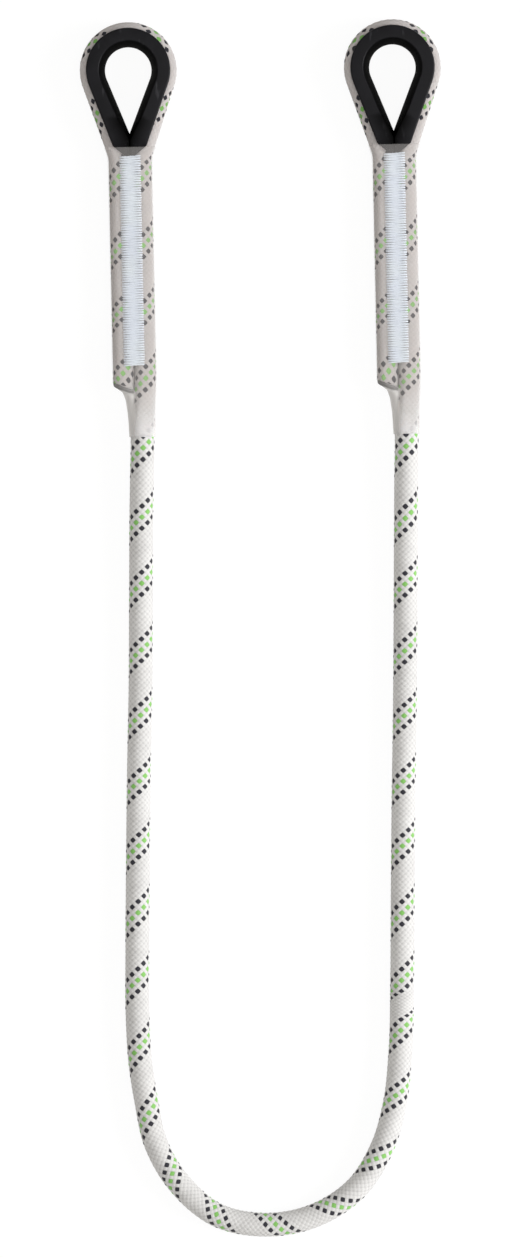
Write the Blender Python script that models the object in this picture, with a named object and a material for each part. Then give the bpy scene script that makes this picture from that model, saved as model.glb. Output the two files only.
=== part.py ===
"""Rope restraint lanyard: a braided rope with a sewn eye at each end, lying in a U.

Metres, +Z up. The lanyard lies flat, its eyes towards +Y, on the surface at Z = 0.
Each sewn end is modelled in its own eye frame: the origin is the centre of the
thimble's round bore, the end runs down towards -Y, and a depth is a distance below
the origin. The rope's tail is on the left there and its standing part on the right.
"""

import math

import bmesh
import bpy
from mathutils import Matrix, Vector

# Rope
ROPE_DIAMETER = 0.012
SHEATH_WALL = 0.0016
ROPE_SIDES = 12

# Gap between pieces that touch
CLEARANCE = 0.0003

# Thimble
BORE_RADIUS = 0.0116
BORE_DEPTH = 0.0315
THROAT_WIDTH = 0.0034
THROAT_POWER = 0.7
THROAT_SHARES = (0.05, 0.25, 0.6, 1.0)
THIMBLE_WEB = 0.0025
FLANGE_THICKNESS = 0.0023
FLANGE_EDGE = 0.0005
FOOT_DEPTH = 0.0427
FOOT_TIP_HALF = 0.00245
SHOULDER_HALF = 0.0084
SHOULDER_RISE = 0.0048
FOOT_FACE_DROP = 0.0022
SPLIT_WIDTH = 0.0003
SPLIT_EDGE = 0.0004
LEAST_WEB_HALF = 0.0006

# The rope's section where something squeezes it, as shares of its diameter
EYE_RADIAL_SHARE = 0.80
EYE_AXIAL_SHARE = 1.01
SEAM_WIDTH_SHARE = 0.845
SEAM_HEIGHT_SHARE = 0.85
MOUTH_SHARE = 0.975
ROPE_PROUD = 0.0029

# Sewn stretch
JOIN_PAST_FOOT = 0.001
JOIN_RADIUS = 0.030
SEAM_PAST_FOOT = 0.0019
SEAM_LENGTH = 0.103
SEAM_WIDTH = 0.010
SEAM_BACKING = 0.00023
STITCH_RIB = 0.00022
STITCH_PITCH = 0.00125
TAIL_PAST_SEAM = 0.0084
TAIL_SLANT = 0.004
SHIFT_PAST_SEAM = 0.002
MOUTH_SHIFT = 0.0021

# Sleeve
SLEEVE_WALL = 0.00055
SLEEVE_OVER_FOOT = 0.0042
SLEEVE_PAST_TAIL = 0.0271
SLEEVE_SIDES = 20

# The sleeve's left side below the tail: share of the way to the mouth, then
# share of the step between the wide part and the mouth that is left there
NECK_DOWN = [(0.02, 0.93), (0.11, 0.68), (0.18, 0.34), (0.33, 0.18), (0.58, 0.06), (1.0, 0.0)]

# Lay of the two ends
EYE_PITCH = 0.132
EYE_B_RISE = 0.0015
EYE_LEAN = math.radians(1.2)
EYE_Y = 0.0788

# Stretches of free rope next to each sleeve: one bends in the plane of the
# lanyard, the neck stays straight, and one bends out of the plane
SWING_BEND = 0.040
NECK_LENGTH = 0.016
LIFT_BEND = 0.050
TUBE_STEP = 0.024
FLOOR_GAP = 0.0001

# The free rope's route between the two mouths: x, y, and how high it lies, from
# on the surface (0) to level with the eyes (1)
ROUTE = [
    (-0.0592, -0.1256, 0.90),
    (-0.0595, -0.1456, 0.48),
    (-0.0596, -0.1656, 0.12),
    (-0.0597, -0.1900, 0.0),
    (-0.0599, -0.2280, 0.0),
    (-0.0607, -0.2710, 0.0),
    (-0.0612, -0.3160, 0.0),
    (-0.0615, -0.3610, 0.0),
    (-0.0613, -0.3958, 0.0),
    (-0.0600, -0.4168, 0.0),
    (-0.0570, -0.4363, 0.0),
    (-0.0521, -0.4578, 0.0),
    (-0.0402, -0.4778, 0.0),
    (-0.0214, -0.4933, 0.0),
    (0.0033, -0.4981, 0.0),
    (0.0279, -0.4932, 0.0),
    (0.0484, -0.4795, 0.0),
    (0.0611, -0.4590, 0.0),
    (0.0674, -0.4367, 0.0),
    (0.0700, -0.4120, 0.0),
    (0.0709, -0.3758, 0.0),
    (0.0712, -0.3308, 0.0),
    (0.0716, -0.2858, 0.0),
    (0.0722, -0.2438, 0.0),
    (0.0726, -0.1900, 0.0),
    (0.0727, -0.1641, 0.12),
    (0.0728, -0.1441, 0.48),
    (0.0729, -0.1241, 0.90),
]

# Sizes that follow from those above
ROPE_RADIUS = ROPE_DIAMETER / 2
EYE_RADIAL = ROPE_RADIUS * EYE_RADIAL_SHARE
EYE_AXIAL = ROPE_RADIUS * EYE_AXIAL_SHARE
SEAM_HALF = ROPE_RADIUS * SEAM_WIDTH_SHARE
SEAM_HALF_HEIGHT = ROPE_RADIUS * SEAM_HEIGHT_SHARE
MOUTH_HALF = ROPE_RADIUS * MOUTH_SHARE
FACET_SHRINK = math.cos(math.pi / ROPE_SIDES)
CORE_INSET = SHEATH_WALL + CLEARANCE / FACET_SHRINK
CORE_RADIUS = ROPE_RADIUS * FACET_SHRINK - SHEATH_WALL - CLEARANCE
ROPE_EYE_RADIUS = BORE_RADIUS + THIMBLE_WEB + CLEARANCE + EYE_RADIAL
FLANGE_RADIUS = ROPE_EYE_RADIUS + EYE_RADIAL - ROPE_PROUD
THIMBLE_HALF = EYE_AXIAL + CLEARANCE + FLANGE_THICKNESS
SHOULDER_DEPTH = FOOT_DEPTH - SHOULDER_RISE
ROPE_OFFSET = SEAM_HALF + CLEARANCE
JOIN_DEPTH = FOOT_DEPTH + JOIN_PAST_FOOT
SEAM_START = FOOT_DEPTH + SEAM_PAST_FOOT
SEAM_END = SEAM_START + SEAM_LENGTH
SEAM_BASE = SEAM_HALF_HEIGHT + CLEARANCE
SEAM_TOP = SEAM_BASE + SEAM_BACKING + STITCH_RIB
SHIFT_START = SEAM_END + SHIFT_PAST_SEAM
TAIL_END = SEAM_END + TAIL_PAST_SEAM
MOUTH_DEPTH = TAIL_END + SLEEVE_PAST_TAIL
SLEEVE_TOP = FOOT_DEPTH - SLEEVE_OVER_FOOT
REST_HEIGHT = ROPE_RADIUS + FLOOR_GAP


def smooth_step(value, low, high):
    """0 below low, 1 above high, and a smooth rise between them."""
    t = min(max((value - low) / (high - low), 0), 1)
    return t * t * (3 - 2 * t)


def tangent_angle(radius, x, depth):
    """How far below the horizontal a line through (x, -depth) touches the circle."""
    return math.atan2(depth, x) - math.acos(radius / math.hypot(x, depth))


ROPE_LEG_ANGLE = tangent_angle(ROPE_EYE_RADIUS, ROPE_OFFSET, JOIN_DEPTH)
BORE_ANGLE = tangent_angle(BORE_RADIUS, 0, BORE_DEPTH)
FLANGE_ANGLE = tangent_angle(FLANGE_RADIUS, SHOULDER_HALF, SHOULDER_DEPTH)
JOIN_REACH = JOIN_RADIUS * math.tan(ROPE_LEG_ANGLE / 2)
JOIN_END = JOIN_DEPTH + JOIN_REACH


def rope_half_width(depth):
    """In the plane of the lanyard: narrow in the groove, squeezed along the seam."""
    in_seam = smooth_step(depth, FOOT_DEPTH, JOIN_END)
    at_mouth = smooth_step(depth, SHIFT_START, MOUTH_DEPTH)
    width = EYE_RADIAL + (SEAM_HALF - EYE_RADIAL) * in_seam
    return width + (MOUTH_HALF - SEAM_HALF) * at_mouth


def rope_half_height(depth):
    """Across the plane: as deep as the groove in the eye, pressed flat by the seam."""
    in_seam = smooth_step(depth, BORE_DEPTH - THIMBLE_WEB, SEAM_START)
    at_mouth = smooth_step(depth, SHIFT_START, MOUTH_DEPTH)
    height = EYE_AXIAL + (SEAM_HALF_HEIGHT - EYE_AXIAL) * in_seam
    return height + (MOUTH_HALF - SEAM_HALF_HEIGHT) * at_mouth


def leg_x(depth):
    """The rope leg's centreline between the eye and the mouth, right of the axis."""
    slope = math.tan(ROPE_LEG_ANGLE)
    if depth < JOIN_DEPTH - JOIN_REACH * math.cos(ROPE_LEG_ANGLE):
        return ROPE_OFFSET + (JOIN_DEPTH - depth) * slope
    if depth < JOIN_END:
        turn = math.asin((JOIN_END - depth) / JOIN_RADIUS)
        return ROPE_OFFSET + JOIN_RADIUS * (1 - math.cos(turn))
    return ROPE_OFFSET - MOUTH_SHIFT * smooth_step(depth, SHIFT_START, MOUTH_DEPTH)


def thimble_face(depth):
    """Half the thimble's thickness: full round the bore, thinner over the foot."""
    return THIMBLE_HALF - FOOT_FACE_DROP * smooth_step(depth, BORE_DEPTH, FOOT_DEPTH)


def eye_angles(below):
    """From the left leg's tangent over the top to the right leg's, in 15 degree steps."""
    over = [math.radians(angle) for angle in range(180, -1, -15)]
    return [math.pi + below, *over, -below]


def outward(angle):
    return Vector((math.cos(angle), math.sin(angle)))


def material(name, colour, roughness, alpha=1.0):
    surface = bpy.data.materials.new(name)
    surface.use_nodes = True
    shader = surface.node_tree.nodes["Principled BSDF"]
    shader.inputs["Base Color"].default_value = (*colour, 1)
    shader.inputs["Roughness"].default_value = roughness
    shader.inputs["Metallic"].default_value = 0
    shader.inputs["Alpha"].default_value = alpha
    return surface


def skin(name, rings, surface, hollow=False):
    """A closed body through rings of as many points, capped or run back on itself."""
    bm = bmesh.new()
    loops = [[bm.verts.new(point) for point in ring] for ring in rings]
    pairs = list(zip(loops, loops[1:]))
    if hollow:
        pairs.append((loops[-1], loops[0]))
    for first, second in pairs:
        for k in range(len(first)):
            after = (k + 1) % len(first)
            bm.faces.new((first[k], first[after], second[after], second[k]))
    if not hollow:
        bm.faces.new(loops[0])
        bm.faces.new(loops[-1])
    bmesh.ops.recalc_face_normals(bm, faces=bm.faces)
    mesh = bpy.data.meshes.new(name)
    bm.to_mesh(mesh)
    bm.free()
    return place(name, mesh, surface)


def place(name, data, surface):
    obj = bpy.data.objects.new(name, data)
    data.materials.append(surface)
    bpy.context.collection.objects.link(obj)
    return obj


def rope_leg():
    """Right leg: points and directions from below the eye's tangent to the parallel run."""
    down = -outward(math.pi / 2 - ROPE_LEG_ANGLE)
    tangent = outward(-ROPE_LEG_ANGLE) * ROPE_EYE_RADIUS
    bend_start = Vector((ROPE_OFFSET, -JOIN_DEPTH)) - down * JOIN_REACH
    leg = [(tangent.lerp(bend_start, share), down) for share in (0.35, 0.65, 0.85, 1.0)]
    centre = Vector((ROPE_OFFSET + JOIN_RADIUS, -JOIN_END))
    for share in (0.5, 1.0):
        turn = ROPE_LEG_ANGLE * (1 - share)
        point = centre + outward(math.pi - turn) * JOIN_RADIUS
        leg.append((point, -outward(math.pi / 2 - turn)))
    return leg


def mirrored(stations):
    """The same stations on the left leg, run the other way."""
    return [
        (Vector((-point.x, point.y)), Vector((along.x, -along.y)))
        for point, along in reversed(stations)
    ]


def eye_stations():
    """The rope's centreline through one sewn end, from the tail's end to the mouth."""
    leg = rope_leg()
    down = Vector((0, -1))
    seam_middle = (SEAM_START + SEAM_END) / 2
    stations = []
    for depth in (TAIL_END, SEAM_END, seam_middle, SEAM_START + SEAM_WIDTH):
        stations.append((Vector((-ROPE_OFFSET, -depth)), -down))
    stations += mirrored(leg)
    for angle in eye_angles(ROPE_LEG_ANGLE):
        out = outward(angle)
        stations.append((out * ROPE_EYE_RADIUS, Vector((out.y, -out.x))))
    stations += leg
    for depth in (SEAM_START + SEAM_WIDTH, seam_middle):
        stations.append((Vector((ROPE_OFFSET, -depth)), down))
    for share in (0, 0.3, 0.6, 1):
        depth = SHIFT_START + (MOUTH_DEPTH - SHIFT_START) * share
        stations.append((Vector((leg_x(depth), -depth)), down))
    return stations


def rope_rings(inset):
    """Sections of the eye's rope, inset evenly from its surface, the tail's cut slanted."""
    rings = []
    for index, (point, along) in enumerate(eye_stations()):
        width = rope_half_width(-point.y) - inset
        height = rope_half_height(-point.y) - inset
        side = Vector((-along.y, along.x))
        ring = []
        for k in range(ROPE_SIDES):
            angle = 2 * math.pi * k / ROPE_SIDES
            spot = point + side * (width * math.cos(angle))
            if index == 0:
                across = (spot.x + ROPE_OFFSET + SEAM_HALF) / (2 * SEAM_HALF)
                spot.y -= TAIL_SLANT * across
            ring.append(Vector((spot.x, spot.y, height * math.sin(angle))))
        rings.append(ring)
    return rings


def eye_sheath(name, surface):
    return skin(name, rope_rings(0) + rope_rings(SHEATH_WALL)[::-1], surface, hollow=True)


def eye_core(name, surface):
    return skin(name, rope_rings(CORE_INSET), surface)


def distance_to_line(start, along, angle, offset):
    """From start along a direction to the line that touches a circle of radius offset."""
    normal = outward(-angle)
    return (offset - normal.dot(start)) / normal.dot(along)


def thimble_stations():
    """Right leg's foot to the left's: bore edge, rim, web and throat rounding of each."""
    half_split = SPLIT_WIDTH / 2
    split_top = BORE_DEPTH - half_split / math.tan(BORE_ANGLE)
    side = outward(-BORE_ANGLE)
    point = Vector((half_split, -split_top))
    rim = point + side * distance_to_line(point, side, FLANGE_ANGLE, FLANGE_RADIUS)
    shoulder = Vector((SHOULDER_HALF, -SHOULDER_DEPTH))
    tip = Vector((FOOT_TIP_HALF, -FOOT_DEPTH))
    middle = (side * BORE_RADIUS).lerp(point, 0.55)
    middle_rim = middle + side * distance_to_line(middle, side, FLANGE_ANGLE, FLANGE_RADIUS)
    foot = FOOT_DEPTH - split_top
    leg = [
        (Vector((half_split, -FOOT_DEPTH)), tip, SPLIT_EDGE),
        (Vector((half_split, -split_top - 0.68 * foot)), shoulder.lerp(tip, 0.5), SPLIT_EDGE),
        (Vector((half_split, -split_top - 0.33 * foot)), shoulder, SPLIT_EDGE),
        (point, rim, THROAT_WIDTH * 0.6),
        (middle, middle_rim, THROAT_WIDTH),
    ]
    arc = []
    for angle in eye_angles(BORE_ANGLE)[::-1]:
        arc.append((outward(angle) * BORE_RADIUS, outward(angle) * FLANGE_RADIUS, THROAT_WIDTH))
    other = [
        (Vector((-edge.x, edge.y)), Vector((-rim.x, rim.y)), throat)
        for edge, rim, throat in reversed(leg)
    ]
    return leg + arc + other


def web_thickness(edge, along, reach):
    """From the bore's edge out to the groove's floor, which follows the rope's leg."""
    if edge.y > -BORE_RADIUS * math.sin(BORE_ANGLE) - CLEARANCE:
        return THIMBLE_WEB
    start = Vector((abs(edge.x), edge.y))
    out = Vector((abs(along.x), along.y))
    seat = ROPE_EYE_RADIUS - EYE_RADIAL - CLEARANCE
    floor = distance_to_line(start, out, ROPE_LEG_ANGLE, seat)
    return min(max(floor, LEAST_WEB_HALF - SPLIT_WIDTH / 2), reach)


def thimble_section(edge, rim, throat):
    """One section of the thimble: flared throat, two flanges, rope groove between."""
    reach = (rim - edge).length
    along = (rim - edge) / reach
    web = web_thickness(edge, along, reach)
    groove = min(EYE_RADIAL + CLEARANCE, (reach - web) * 0.8)
    front = []
    for share in THROAT_SHARES:
        spot = edge + along * throat * share
        front.append((spot, thimble_face(-spot.y) * share ** THROAT_POWER))
    for spot, drop in ((rim - along * FLANGE_EDGE, 0), (rim, FLANGE_EDGE)):
        front.append((spot, thimble_face(-spot.y) - drop))
    front.append((rim, rope_half_height(-rim.y) + CLEARANCE))
    for degrees in (90, 67.5, 45, 22.5):
        turn = math.radians(degrees)
        spot = edge + along * (web + groove * (1 - math.cos(turn)))
        front.append((spot, (rope_half_height(-spot.y) + CLEARANCE) * math.sin(turn)))
    section = [(edge, 0), *front, (edge + along * web, 0)]
    section += [(spot, -height) for spot, height in reversed(front)]
    return [Vector((spot.x, spot.y, height)) for spot, height in section]


def thimble(name, surface):
    return skin(name, [thimble_section(*station) for station in thimble_stations()], surface)


def seam(name, surface, side):
    """One face of the seam: rows of stitches side by side, ribbed along the rope."""
    rows = round(SEAM_LENGTH / STITCH_PITCH)
    pitch = SEAM_LENGTH / rows
    profile = [(SEAM_START, SEAM_BASE)]
    for row in range(rows):
        profile.append((SEAM_START + row * pitch, SEAM_BASE + SEAM_BACKING))
        profile.append((SEAM_START + (row + 0.5) * pitch, SEAM_TOP))
    profile.append((SEAM_END, SEAM_BASE + SEAM_BACKING))
    profile.append((SEAM_END, SEAM_BASE))
    rings = []
    for x in (-SEAM_WIDTH / 2, SEAM_WIDTH / 2):
        rings.append([Vector((x, -depth, side * height)) for depth, height in profile])
    return skin(name, rings, surface)


def sleeve_outline(depth, left, right, half_height, squareness):
    """One section of the sleeve, between an ellipse (2) and a rounded box (4)."""
    ring = []
    for k in range(SLEEVE_SIDES):
        angle = 2 * math.pi * k / SLEEVE_SIDES
        across = math.copysign(abs(math.cos(angle)) ** (2 / squareness), math.cos(angle))
        over = math.copysign(abs(math.sin(angle)) ** (2 / squareness), math.sin(angle))
        x = (left + right) / 2 + (right - left) / 2 * across
        ring.append(Vector((x, -depth, half_height * over)))
    return ring


def sleeve_reach(depth):
    """How far right of the axis the sleeve's bore must reach to clear the rope."""
    slant = math.cos(ROPE_LEG_ANGLE) if depth < JOIN_DEPTH else 1
    return leg_x(depth) + rope_half_width(depth) / slant + CLEARANCE


def sleeve_rings(wall):
    """The sleeve's sections from the thimble's foot to its mouth, wall proud of its bore."""
    wide = SEAM_TOP + CLEARANCE
    rings = []
    over_foot = thimble_face(FOOT_DEPTH) + 2 * CLEARANCE
    tops = [
        (SLEEVE_TOP, THIMBLE_HALF - SLEEVE_WALL - FLOOR_GAP, 4),
        (FOOT_DEPTH, over_foot, 4),
        (JOIN_DEPTH + JOIN_REACH / 2, (over_foot + wide) / 2, 3),
        (JOIN_END + SEAM_PAST_FOOT, wide, 3),
        (SEAM_END, wide, 3),
        (TAIL_END - CLEARANCE, wide, 3),
    ]
    for depth, height, squareness in tops:
        reach = sleeve_reach(depth) + wall
        left = max(sleeve_reach(depth), sleeve_reach(SEAM_END)) + wall
        rings.append(sleeve_outline(depth, -left, reach, height + wall, squareness))
    mouth_left = leg_x(MOUTH_DEPTH) - MOUTH_HALF - CLEARANCE
    step = mouth_left + sleeve_reach(SEAM_END)
    mouth_height = MOUTH_HALF + CLEARANCE
    for share, left_over in NECK_DOWN:
        depth = TAIL_END + SLEEVE_PAST_TAIL * share
        left = mouth_left - step * left_over - wall
        height = mouth_height + (wide - mouth_height) * left_over + wall
        reach = sleeve_reach(depth) + wall
        rings.append(sleeve_outline(depth, left, reach, height, 2 + left_over))
    return rings


def sleeve(name, surface):
    return skin(name, sleeve_rings(SLEEVE_WALL) + sleeve_rings(0)[::-1], surface, hollow=True)


def eye_matrix(x, y):
    return Matrix.Translation((x, y, THIMBLE_HALF)) @ Matrix.Rotation(EYE_LEAN, 4, "Z")


def mouth(frame):
    """Where the rope leaves the sleeve, and which way it runs there."""
    point = frame @ Vector((leg_x(MOUTH_DEPTH), -MOUTH_DEPTH, 0))
    return point, frame.to_3x3() @ Vector((0, -1, 0))


def route_points(frames):
    """The whole free rope as points and directions of a smooth curve through its route."""
    (start, out), (end, back) = mouth(frames[0]), mouth(frames[1])
    points = [start]
    for x, y, height in ROUTE:
        points.append(Vector((x, y, REST_HEIGHT + (THIMBLE_HALF - REST_HEIGHT) * height)))
    points.append(end)
    spans = [(b - a).length for a, b in zip(points, points[1:])]
    slopes = [out]
    for k in range(1, len(points) - 1):
        before = (points[k] - points[k - 1]) / spans[k - 1]
        after = (points[k + 1] - points[k]) / spans[k]
        slopes.append((before * spans[k] + after * spans[k - 1]) / (spans[k] + spans[k - 1]))
    slopes.append(-back)
    return points, slopes, spans


def smooth_curve(frames, per_span=16):
    """Points close together on the curve through the route, from mouth to mouth."""
    points, slopes, spans = route_points(frames)
    curve = [points[0]]
    for k, span in enumerate(spans):
        for step in range(1, per_span + 1):
            t = step / per_span
            a = points[k] * (1 + 2 * t) * (1 - t) ** 2
            b = slopes[k] * span * t * (1 - t) ** 2
            c = points[k + 1] * t * t * (3 - 2 * t)
            d = slopes[k + 1] * span * t * t * (t - 1)
            curve.append(a + b + c + d)
    return curve


def walk(curve, lengths):
    """Points at the given lengths along a curve, from its start."""
    found = []
    for length in lengths:
        gone = 0
        for a, b in zip(curve, curve[1:]):
            span = (b - a).length
            if gone + span >= length:
                found.append(a.lerp(b, (length - gone) / span))
                break
            gone += span
    return found


def tube(name, curve, start, end, surface, wall=None):
    """A stretch of the free rope as a bevelled curve: a sheath of this wall, or the core."""
    steps = math.ceil((end - start) / TUBE_STEP)
    points = walk(curve, [start + (end - start) * k / steps for k in range(steps + 1)])
    data = bpy.data.curves.new(name, "CURVE")
    data.dimensions = "3D"
    data.bevel_depth = ROPE_RADIUS if wall else CORE_RADIUS
    data.bevel_resolution = (ROPE_SIDES - 4) // 2
    data.use_fill_caps = wall is None
    spline = data.splines.new("POLY")
    spline.points.add(len(points) - 1)
    for spot, point in zip(spline.points, points):
        spot.co = (*point, 1)
    obj = place(name, data, surface)
    if wall:
        shell = obj.modifiers.new("wall", "SOLIDIFY")
        shell.thickness = wall
        shell.offset = -1
    return obj


def empty(name, location, parent=None):
    pivot = bpy.data.objects.new(name, None)
    pivot.location = location
    pivot.parent = parent
    bpy.context.collection.objects.link(pivot)
    return pivot


def ride(obj, pivot, pivot_place):
    """Hang a piece made in world coordinates on a pivot, without moving it."""
    obj.parent = pivot
    obj.location = -pivot_place


def sewn_end(letter, frame, pivot, pivot_place, finish):
    """All the rigid pieces of one end, in the eye's frame, hung on its swing pivot."""
    pieces = [
        eye_sheath(f"eye_rope_sheath_{letter}", finish["sheath"]),
        eye_core(f"eye_rope_core_{letter}", finish["core"]),
        thimble(f"thimble_{letter}", finish["thimble"]),
        seam(f"seam_front_{letter}", finish["thread"], 1),
        seam(f"seam_back_{letter}", finish["thread"], -1),
        sleeve(f"sleeve_{letter}", finish["sleeve"]),
    ]
    to_pivot = Matrix.Translation(-pivot_place) @ frame
    for piece in pieces:
        piece.parent = pivot
        piece.location = to_pivot.to_translation()
        piece.rotation_euler = to_pivot.to_euler()


def flexing_stretches(letter, curve, finish):
    """The free rope's bends and neck next to one sleeve, hung on their pivots."""
    neck_start = SWING_BEND
    lift_start = SWING_BEND + NECK_LENGTH
    swing_place, lift_place = walk(curve, (SWING_BEND / 2, lift_start + LIFT_BEND / 2))
    lift_pivot = empty(f"lift_pivot_{letter}", lift_place)
    swing_pivot = empty(f"swing_pivot_{letter}", swing_place - lift_place, lift_pivot)
    stretches = [
        ("swing_bend", 0, SWING_BEND),
        ("neck", neck_start, NECK_LENGTH),
        ("lift_bend", lift_start, LIFT_BEND),
    ]
    for name, start, length in stretches:
        near, far = start + CLEARANCE, start + length
        sheath = tube(f"{name}_sheath_{letter}", curve, near, far, finish["sheath"], SHEATH_WALL)
        core = tube(f"{name}_core_{letter}", curve, near, far, finish["core"])
        ride(sheath, lift_pivot, lift_place)
        ride(core, lift_pivot, lift_place)
    return swing_pivot, swing_place, lift_place


def main():
    for obj in list(bpy.data.objects):
        bpy.data.objects.remove(obj, do_unlink=True)
    finish = {
        "sheath": material("white_braid", (0.80, 0.79, 0.78), 0.85),
        "core": material("core_yarn", (0.85, 0.84, 0.82), 0.90),
        "thimble": material("black_plastic", (0.015, 0.015, 0.017), 0.45),
        "thread": material("seam_thread", (0.72, 0.77, 0.84), 0.70),
        "sleeve": material("milky_sleeve", (0.78, 0.76, 0.75), 0.30, alpha=0.5),
    }
    frames = [
        eye_matrix(-EYE_PITCH / 2, EYE_Y),
        eye_matrix(EYE_PITCH / 2, EYE_Y + EYE_B_RISE),
    ]
    curve = smooth_curve(frames)
    length = sum((b - a).length for a, b in zip(curve, curve[1:]))
    for letter, frame, from_mouth in (("a", frames[0], curve), ("b", frames[1], curve[::-1])):
        pivot, swing_place, lift_place = flexing_stretches(letter, from_mouth, finish)
        sewn_end(letter, frame, pivot, swing_place, finish)
        print(f"end {letter}: swing pivot {swing_place[:]}, lift pivot {lift_place[:]}")
        print(f"end {letter}: eye centre {frame.to_translation()[:]}")
    flexing = SWING_BEND + NECK_LENGTH + LIFT_BEND + CLEARANCE
    tube("run_sheath", curve, flexing, length - flexing, finish["sheath"], SHEATH_WALL)
    tube("run_core", curve, flexing, length - flexing, finish["core"])
    print(f"free rope from mouth to mouth {length:.4f}")


main()
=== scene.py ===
"""Rope restraint lanyard: a braided rope with a sewn eye over a black thimble at each end.

Metres, +Z up, the lanyard lies flat with its eyes towards +Y. Each sewn end is made in
its own eye frame, as in the part's source: the origin is the centre of the thimble's
round bore and the end runs down towards -Y, its tail on the left.
"""

import math

import bmesh
import bpy
import numpy as np
from mathutils import Matrix, Vector, noise


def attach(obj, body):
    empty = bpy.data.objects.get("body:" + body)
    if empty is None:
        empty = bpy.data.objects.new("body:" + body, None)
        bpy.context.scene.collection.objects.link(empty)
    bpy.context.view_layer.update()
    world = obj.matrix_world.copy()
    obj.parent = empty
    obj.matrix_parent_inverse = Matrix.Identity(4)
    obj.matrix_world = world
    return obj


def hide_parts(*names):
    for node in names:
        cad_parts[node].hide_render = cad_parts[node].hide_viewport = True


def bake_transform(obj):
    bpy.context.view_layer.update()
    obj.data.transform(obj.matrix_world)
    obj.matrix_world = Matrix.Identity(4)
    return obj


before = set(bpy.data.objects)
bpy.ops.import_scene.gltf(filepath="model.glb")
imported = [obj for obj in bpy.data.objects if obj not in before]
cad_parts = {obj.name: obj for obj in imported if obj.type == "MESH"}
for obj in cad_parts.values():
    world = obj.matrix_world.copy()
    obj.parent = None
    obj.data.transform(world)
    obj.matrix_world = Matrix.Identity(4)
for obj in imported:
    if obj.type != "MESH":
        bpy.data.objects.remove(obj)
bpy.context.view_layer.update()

# The photograph's frame and scale
PHOTO_HEIGHT = 1258
PIXEL = 0.0005
PHOTO_CENTRE = (-0.00015, -0.20025)
CAMERA_HEIGHT = 6.0
SENSOR = 36
TABLE_HALF = 12
TABLE_TOP = -0.0003

# Sizes from the part's source
ROPE_RADIUS = 0.006
BORE_RADIUS = 0.0116
BORE_DEPTH = 0.0315
THIMBLE_WEB = 0.0025
FLANGE_RADIUS = 0.0211
FOOT_DEPTH = 0.0427
FOOT_TIP_HALF = 0.00245
SHOULDER_HALF = 0.0084
SHOULDER_DEPTH = 0.0379
FOOT_FACE_DROP = 0.0022
THROAT_WIDTH = 0.0034
THROAT_POWER = 0.7
CLEARANCE = 0.0003
EYE_RADIAL = 0.0048
EYE_AXIAL = 0.00606
THIMBLE_HALF = 0.00866
ROPE_EYE_RADIUS = 0.0192
SEAM_HALF = 0.00520
SEAM_HALF_HEIGHT = 0.0051
MOUTH_HALF = 0.00585
ROPE_OFFSET = 0.00537
JOIN_DEPTH = 0.0437
JOIN_RADIUS = 0.030
SEAM_START = 0.0446
SEAM_END = 0.1476
SEAM_WIDTH = 0.010
SEAM_TOP = 0.00585
TAIL_END = 0.156
TAIL_SLANT = 0.004
SHIFT_START = 0.1496
MOUTH_SHIFT = 0.0021
MOUTH_DEPTH = 0.1831
SLEEVE_TOP = 0.0385
SLEEVE_WALL = 0.00040
NECK_DOWN = [(0.02, 0.93), (0.11, 0.68), (0.18, 0.34), (0.33, 0.18), (0.58, 0.06), (1.0, 0.0)]
EYE_LEAN = math.radians(1.2)
EYE_A = (-0.066, 0.0788)
EYE_B = (0.066, 0.0803)
REST_HEIGHT = 0.0061
SWING_BEND = 0.040
NECK_LENGTH = 0.016
LIFT_BEND = 0.050

# The scene's own detail of the thimble: how thin its wall may get, the throat at the
# foot, the rolled rims, the ledge of the groove, and the sections along and round it
THINNEST_WEB = 0.00045
FOOT_THROAT = 0.0004
# Shares of the throat's width between which its painted shade fades out
THROAT_SHADE = (0.86, 0.99)
RIM_ROLL = 0.0009
GROOVE_LEDGE = 0.0003
LEG_SECTIONS = (8, 4, 10)
CROWN_SECTIONS = 48
THROAT_STEPS = 9
RIM_STEPS = 4
GROOVE_STEPS = 8

# The seams' thread, and the points along one row of it by share of the half width
STITCH_START = 0.04275
THREAD_RADIUS = 0.00040
THREAD_PITCH = 0.00062
THREAD_SLANT = 0.00028
THREAD_POINTS = (-1, -0.97, -0.85, -0.6, -0.3, 0, 0.3, 0.6, 0.85, 0.97, 1)

# The sleeve's mesh, its rolled lip, and how milky it is next to the mouth
SLEEVE_STEP = 0.0013
SLEEVE_SIDES = 56
SLEEVE_LIP = (0.00006, 0.0006)
MOUTH_VEIL = 0.33

# Steps along the rope's line, and points of the cord's declared path
LINE_STEP = 0.0015
JOIN_STEPS = 6
CROWN_STEPS = 56
CURVE_STEPS = 16
PATH_STEPS = 120

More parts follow.
